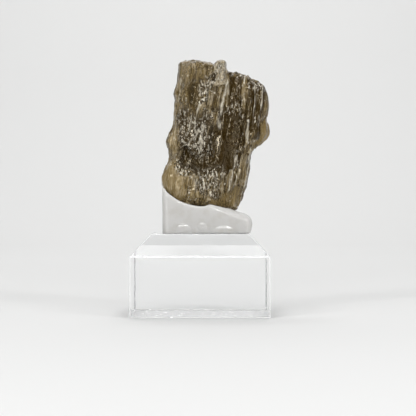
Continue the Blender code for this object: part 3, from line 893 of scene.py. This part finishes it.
stone_points, stone_quads = surface_of(
    stone_faces, stone_depth, STONE_LOW, STONE_HIGH, STONE_STEP
)
stone_mesh = natural_mesh("fluted glass", stone_points, stone_quads)
add_stone_shares(stone_mesh, stone_points)
fluted_glass = new_object("fluted_glass", stone_mesh, stone_material())
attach(fluted_glass, "root")
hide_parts("impact_glass")


# ---------------------------------------------------------------- Putty
# A lump of translucent mounting putty, cut straight at one end, pressed on to the block and
# then squeezed up round the foot of the stone by thumb.

PUTTY_FRONT = 7.2 * MM
PUTTY_BACK = 6.4 * MM
PUTTY_RIM = 1.6 * MM
PUTTY_GRIP = 0.5 * MM  # how far it reaches in behind the stone's edge
PUTTY_SEAT = 0.02 * MM  # how clear of the stone and the block it stays
PUTTY_OUTLINE = (  # x from the block's middle and z from the block's top, in mm
    (-8.8, -4.0), (-8.8, 0.0), (-8.8, 4.0), (-8.8, 9.8), (-8.0, 10.4), (0.0, 8.4), (8.1, 5.3),
    (10.4, 4.6), (11.7, 3.6), (12.1, 2.4), (12.0, 1.2), (11.4, -1.0), (11.2, -4.0),
)
# Thumb marks near its foot: x and z of the middle, half width and height, and how far each bulges, in mm
PUTTY_BULGES = {
    "left": (-3.9, 0.6, 1.9, 1.6, 0.12),
    "middle": (0.5, 1.5, 1.1, 1.0, 0.08),
    "right": (5.5, 0.2, 2.7, 1.6, 0.12),
}
PUTTY_LOW, PUTTY_HIGH = (-10.5, -9.0, 18.2), (14.0, 9.0, 30.0)
PUTTY_STEP = (0.22 * MM, 0.3 * MM, 0.22 * MM)
CLEAN_PUTTY = (0.54, 0.533, 0.518, 1.0)
DUSTY_PUTTY = (0.48, 0.465, 0.435, 1.0)


def putty_bulge(x, z):
    """How far the thumb marks stand out at each place of the front."""
    total = np.zeros(x.shape)
    for middle_x, middle_z, half_width, half_height, proud in PUTTY_BULGES.values():
        away = np.hypot((x / MM - middle_x) / half_width, (z / MM - middle_z) / half_height)
        total += proud * MM * np.clip(1 - away**4, 0, 1)
    return total


def putty_faces(x, z):
    """For each place: what the stone has there, then the putty's own inset and bulge."""
    outline = rounded_curve(np.array(PUTTY_OUTLINE) * MM)
    x_on_block, z_on_block = x - block_middle_x, z - block_top
    inset = inset_from(outline, x_on_block, z_on_block)
    bulge = putty_bulge(x_on_block, z_on_block)
    return np.concatenate((stone_faces(x, z), inset[..., None], bulge[..., None]), axis=-1)


def putty_depth(points, faces):
    """How deep each point lies in the putty: inside its lump, under the stone and on the block."""
    front = PUTTY_FRONT + faces[..., -1]
    across = np.where(points[..., 1] < 0, front, PUTTY_BACK) - abs(points[..., 1])
    lump = rounded_slab(faces[..., -2], across, PUTTY_RIM)
    under = PUTTY_GRIP - faces[..., 0]
    clear_of_stone = -stone_depth(points, faces[..., :-2]) - PUTTY_SEAT
    above_block = points[..., 2] - block_top - PUTTY_SEAT
    return np.minimum(np.minimum(lump, under), np.minimum(clear_of_stone, above_block))


def putty_material():
    """Milky putty that light goes into, smeared by fingers and a little dusty."""
    made, tree, shader = new_material("mounting putty")
    shader.inputs["IOR"].default_value = 1.45
    shader.inputs["Subsurface Weight"].default_value = 1.0
    shader.inputs["Subsurface Radius"].default_value = (1.0, 1.0, 1.0)
    shader.inputs["Subsurface Scale"].default_value = 2.5 * MM
    roughness = from_to(tree, marks_on(tree, 250.0, 0.1), 0.0, 1.0, 0.12, 0.3)
    colour = mixed_colour(tree, marks_on(tree, 400.0, 0.15), CLEAN_PUTTY, DUSTY_PUTTY)
    tree.links.new(roughness, shader.inputs["Roughness"])
    tree.links.new(colour, shader.inputs["Base Color"])
    return made


putty_points, putty_quads = surface_of(
    putty_faces, putty_depth, PUTTY_LOW, PUTTY_HIGH, PUTTY_STEP
)
putty_mesh = natural_mesh("putty bed", putty_points, putty_quads)
putty_bed = new_object("putty_bed", putty_mesh, putty_material())
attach(putty_bed, "root")
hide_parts("putty")


# ---------------------------------------------------------------- Table, lights and camera
# A table covered with pale paper that sweeps up seamlessly far behind the piece, under soft studio
# light, and a camera that looks level at the piece.

FLOOR_NEAR = -1.2
SWEEP_START = 0.45
SWEEP_ROUND = 0.35
SWEEP_TOP = 1.2
FLOOR_HALF = 3.0
SWEEP_STEPS = 17
AIR_UNDER = 0.05 * MM  # gap that keeps the table clear of the block's underside
SWEEP_COLOUR = (0.80, 0.80, 0.792, 1.0)


def sweep_mesh():
    """The table top that turns up in a quarter circle into the backdrop."""
    profile = [(FLOOR_NEAR, -AIR_UNDER), (SWEEP_START, -AIR_UNDER)]
    for turn in np.linspace(0, np.pi / 2, SWEEP_STEPS)[1:]:
        profile.append((SWEEP_START + SWEEP_ROUND * np.sin(turn), SWEEP_ROUND * (1 - np.cos(turn))))
    profile.append((SWEEP_START + SWEEP_ROUND, SWEEP_TOP))
    points = [(x, y, z) for y, z in profile for x in (-FLOOR_HALF, FLOOR_HALF)]
    faces = [(2 * i, 2 * i + 1, 2 * i + 3, 2 * i + 2) for i in range(len(profile) - 1)]
    mesh = bpy.data.meshes.new("sweep")
    mesh.from_pydata(points, [], faces)
    mesh.shade_smooth()
    return mesh


def sweep_material():
    """Matt off-white paper."""
    made, _, shader = new_material("pale sweep")
    shader.inputs["Base Color"].default_value = SWEEP_COLOUR
    shader.inputs["Roughness"].default_value = 0.9
    shader.inputs["Specular IOR Level"].default_value = 0.1
    return made


new_object("table_sweep", sweep_mesh(), sweep_material())

# Each soft light: its place, its width and height, its power in watts and what it is aimed at
SPECIMEN = (0.0, 0.0, 0.035)
BACKDROP = (0.0, 0.8, 0.15)
SOFT_LIGHTS = {
    "left window": ((-0.32, -0.40, 0.22), (0.035, 0.44), 0.9, SPECIMEN),
    "right window": ((0.36, -0.36, 0.20), (0.03, 0.40), 0.8, SPECIMEN),
    "front window": ((0.0, -0.62, 0.19), (0.50, 0.04), 1.4, SPECIMEN),
    "top window": ((0.0, -0.205, 0.70), (0.50, 0.23), 1.5, SPECIMEN),
    "back window": ((-0.06, 0.42, 0.45), (0.45, 0.25), 0.25, SPECIMEN),
    "backdrop light": ((0.0, 0.36, 0.80), (0.60, 0.20), 2.9, BACKDROP),
}


def soft_light(name, place, size, power, aim):
    """A rectangular light, level with the table along its width."""
    light = bpy.data.lights.new(name, "AREA")
    light.shape = "RECTANGLE"
    light.size, light.size_y = size
    light.energy = power
    lamp = bpy.data.objects.new(name, light)
    lamp.location = place
    direction = np.array(aim) - np.array(place)
    level = np.hypot(direction[0], direction[1])
    lamp.rotation_euler = (
        np.arctan2(level, -direction[2]),
        0.0,
        np.arctan2(direction[1], direction[0]) - np.pi / 2,
    )
    bpy.context.scene.collection.objects.link(lamp)


for light_name, (place, size, power, aim) in SOFT_LIGHTS.items():
    soft_light(light_name, place, size, power, aim)

AIR_COLOUR = (0.97, 0.98, 1.0, 1.0)
AIR_LIGHT = 0.24

world = bpy.data.worlds.new("studio air")
world.use_nodes = True
world.node_tree.nodes["Background"].inputs["Color"].default_value = AIR_COLOUR
world.node_tree.nodes["Background"].inputs["Strength"].default_value = AIR_LIGHT
bpy.context.scene.world = world
bpy.context.scene.view_settings.view_transform = "Standard"

CAMERA_PLACE = (1.4 * MM, -0.296, 24.7 * MM)
CAMERA_LENS = 108.0

camera_data = bpy.data.cameras.new("camera")
camera_data.sensor_width = 36.0
camera_data.lens = CAMERA_LENS
camera_data.clip_start = 0.01
camera = bpy.data.objects.new("camera", camera_data)
camera.location = CAMERA_PLACE
camera.rotation_euler = (np.pi / 2, 0.0, 0.0)
bpy.context.scene.collection.objects.link(camera)
bpy.context.scene.camera = camera
